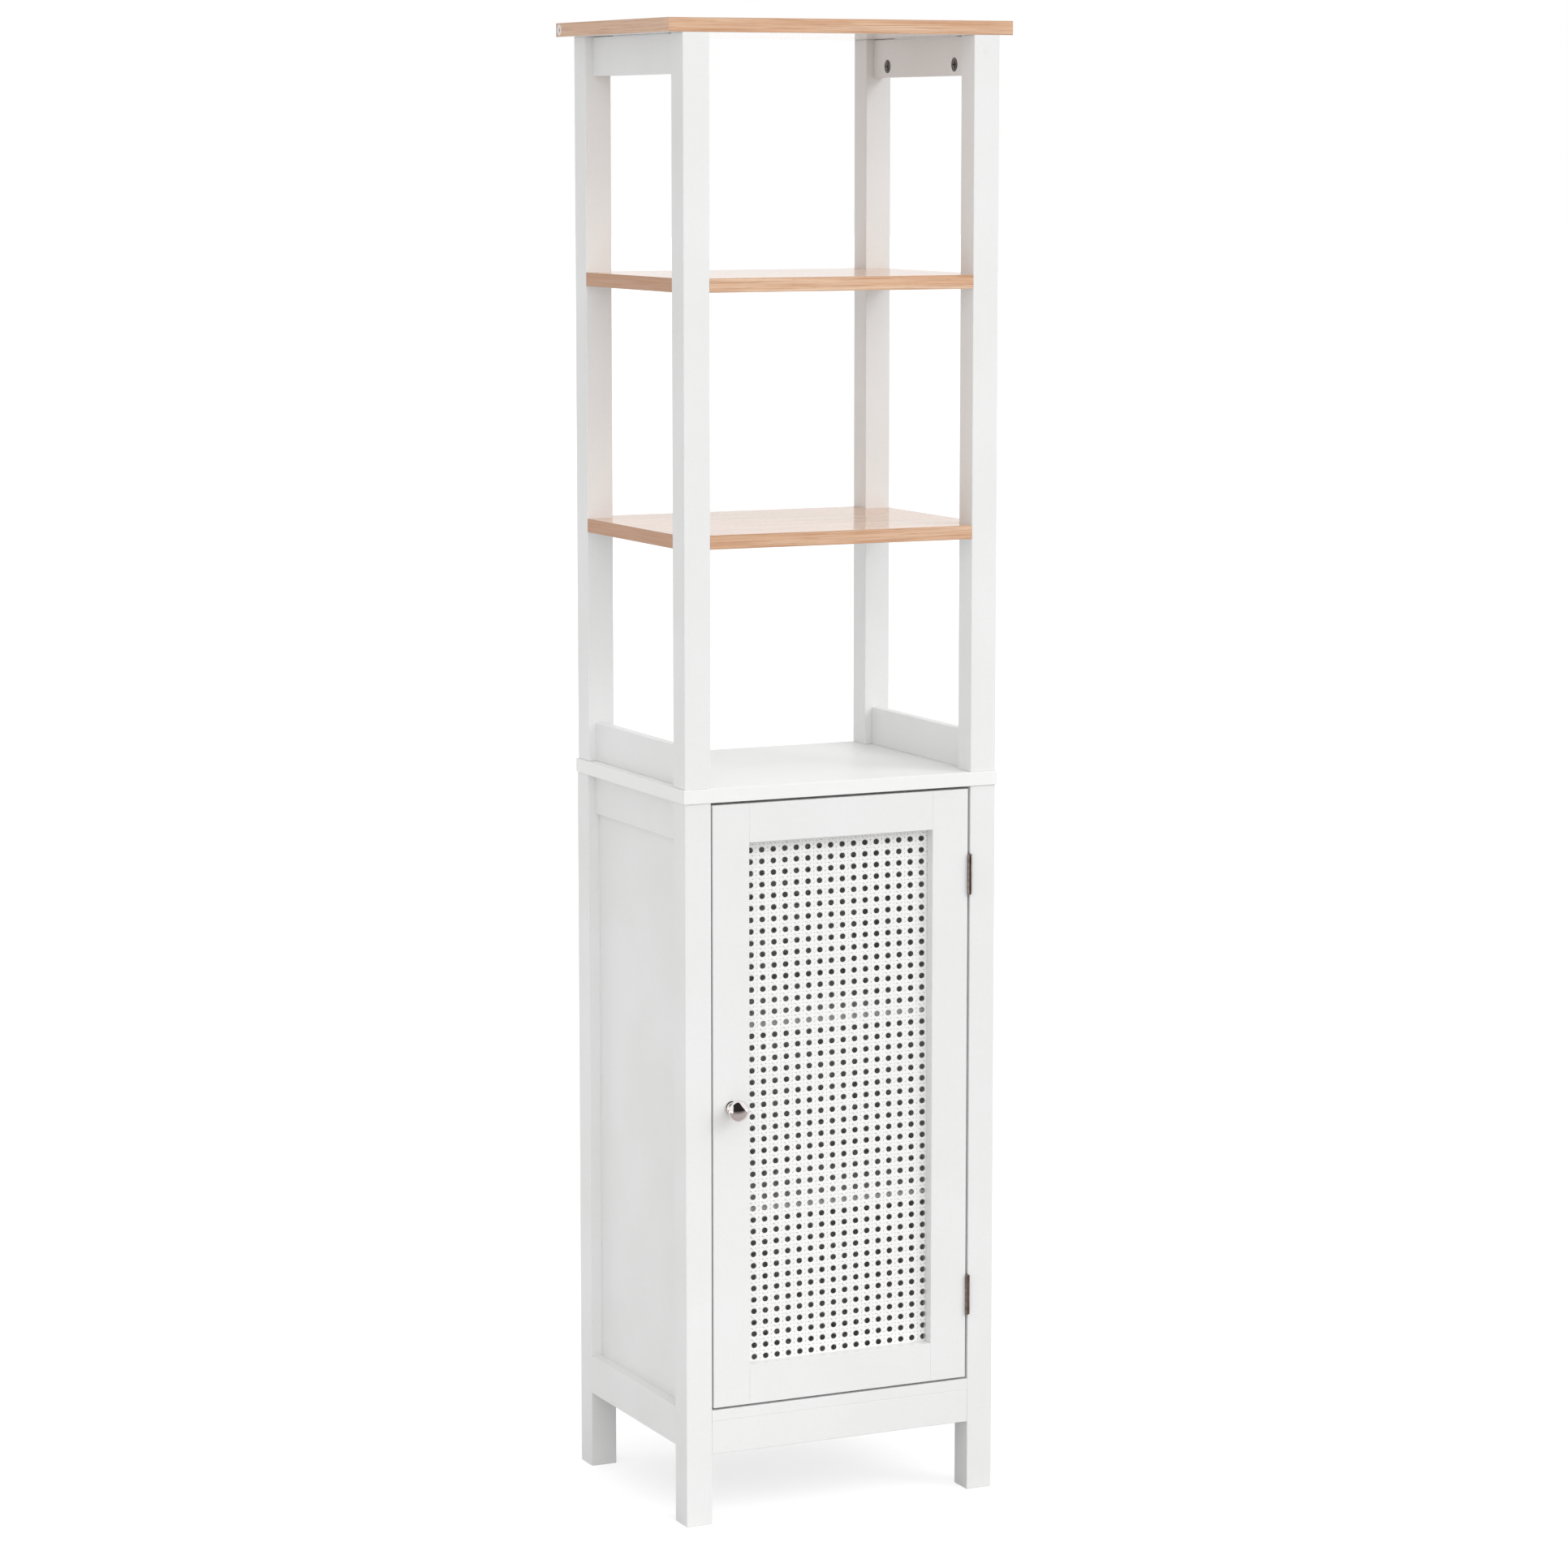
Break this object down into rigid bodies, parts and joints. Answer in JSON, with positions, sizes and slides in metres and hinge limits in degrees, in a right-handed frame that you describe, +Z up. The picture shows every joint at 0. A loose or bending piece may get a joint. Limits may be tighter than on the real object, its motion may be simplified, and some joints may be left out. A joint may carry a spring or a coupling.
{
  "type": "tall bathroom cabinet",
  "caption": "Tall narrow bathroom cabinet: an open rack with wood-grain boards above a white cupboard with a framed cane-webbing door and a round knob.",
  "frame": {"origin": "on the floor, under the middle of the outline (bottom centre of the bounding box)", "axes": "+Z up, along the cabinet's height; +Y to the back; -Y out of the door's front; +X to the right for someone facing the door"},
  "size_m": [0.4, 0.324, 1.6],
  "materials": {
    "white_lacquer": "satin white lacquer on board and wood",
    "oak_print": "matt oak-grain foil on top and edges, white underneath",
    "white_cane": "white plastic cane webbing, satin",
    "polished_nickel": "polished nickel plate",
    "zinc_steel": "bright zinc plate",
    "beech_dowel": "plain fluted beech",
    "white_plastic": "moulded, matt",
    "pale_plastic": "moulded, matt",
    "dark_magnet": "sintered ferrite, matt"
  },
  "bodies": {
    "cabinet": {"back_bottom_rail": "white_lacquer", "back_panel": "white_lacquer", "bottom_board": "white_lacquer", "cabinet_leg_back_left": "white_lacquer", "cabinet_leg_back_right": "white_lacquer", "cabinet_leg_front_left": "white_lacquer", "cabinet_leg_front_right": "white_lacquer", "cam_bolts": "zinc_steel", "cam_nuts": "zinc_steel", "catch_housing": "white_plastic", "catch_magnet": "dark_magnet", "catch_screws": "zinc_steel", "deck_board": "white_lacquer", "deck_dowels": "beech_dowel", "edge_cap": "pale_plastic", "frame_dowels": "beech_dowel", "front_apron": "white_lacquer", "hinge_lower_pin": "polished_nickel", "hinge_lower_post_leaf": "polished_nickel", "hinge_post_screws": "polished_nickel", "hinge_upper_pin": "polished_nickel", "hinge_upper_post_leaf": "polished_nickel", "inner_shelf_lower": "white_lacquer", "inner_shelf_upper": "white_lacquer", "post_hole_plug": "white_lacquer", "rack_bottom_rail_left": "white_lacquer", "rack_bottom_rail_right": "white_lacquer", "rack_post_back_left": "white_lacquer", "rack_post_back_right": "white_lacquer", "rack_post_front_left": "white_lacquer", "rack_post_front_right": "white_lacquer", "rack_shelf_lower": "oak_print", "rack_shelf_upper": "oak_print", "rack_top_rail_left": "white_lacquer", "rack_top_rail_right": "white_lacquer", "shelf_pins": "zinc_steel", "side_bottom_rail_left": "white_lacquer", "side_bottom_rail_right": "white_lacquer", "side_panel_left": "white_lacquer", "side_panel_right": "white_lacquer", "side_top_rail_left": "white_lacquer", "side_top_rail_right": "white_lacquer", "top_board": "oak_print"},
    "door": {"cane_panel": "white_cane", "cane_strips_cross": "white_lacquer", "cane_strips_upright": "white_lacquer", "catch_strike_plate": "zinc_steel", "door_dowels": "beech_dowel", "door_knob": "polished_nickel", "door_rail_bottom": "white_lacquer", "door_rail_top": "white_lacquer", "door_stile_left": "white_lacquer", "door_stile_right": "white_lacquer", "hinge_door_screws": "polished_nickel", "hinge_lower_door_leaf": "polished_nickel", "hinge_upper_door_leaf": "polished_nickel", "knob_screw": "zinc_steel", "strike_screw": "zinc_steel"}
  },
  "joints": [
    {"name": "door_hinge", "type": "hinge", "parent": "cabinet", "child": "door", "pos_m": [0.1525, -0.1403, 0.45425], "axis": [0, 0, 1], "range_deg": [0, 180]}
  ]
}
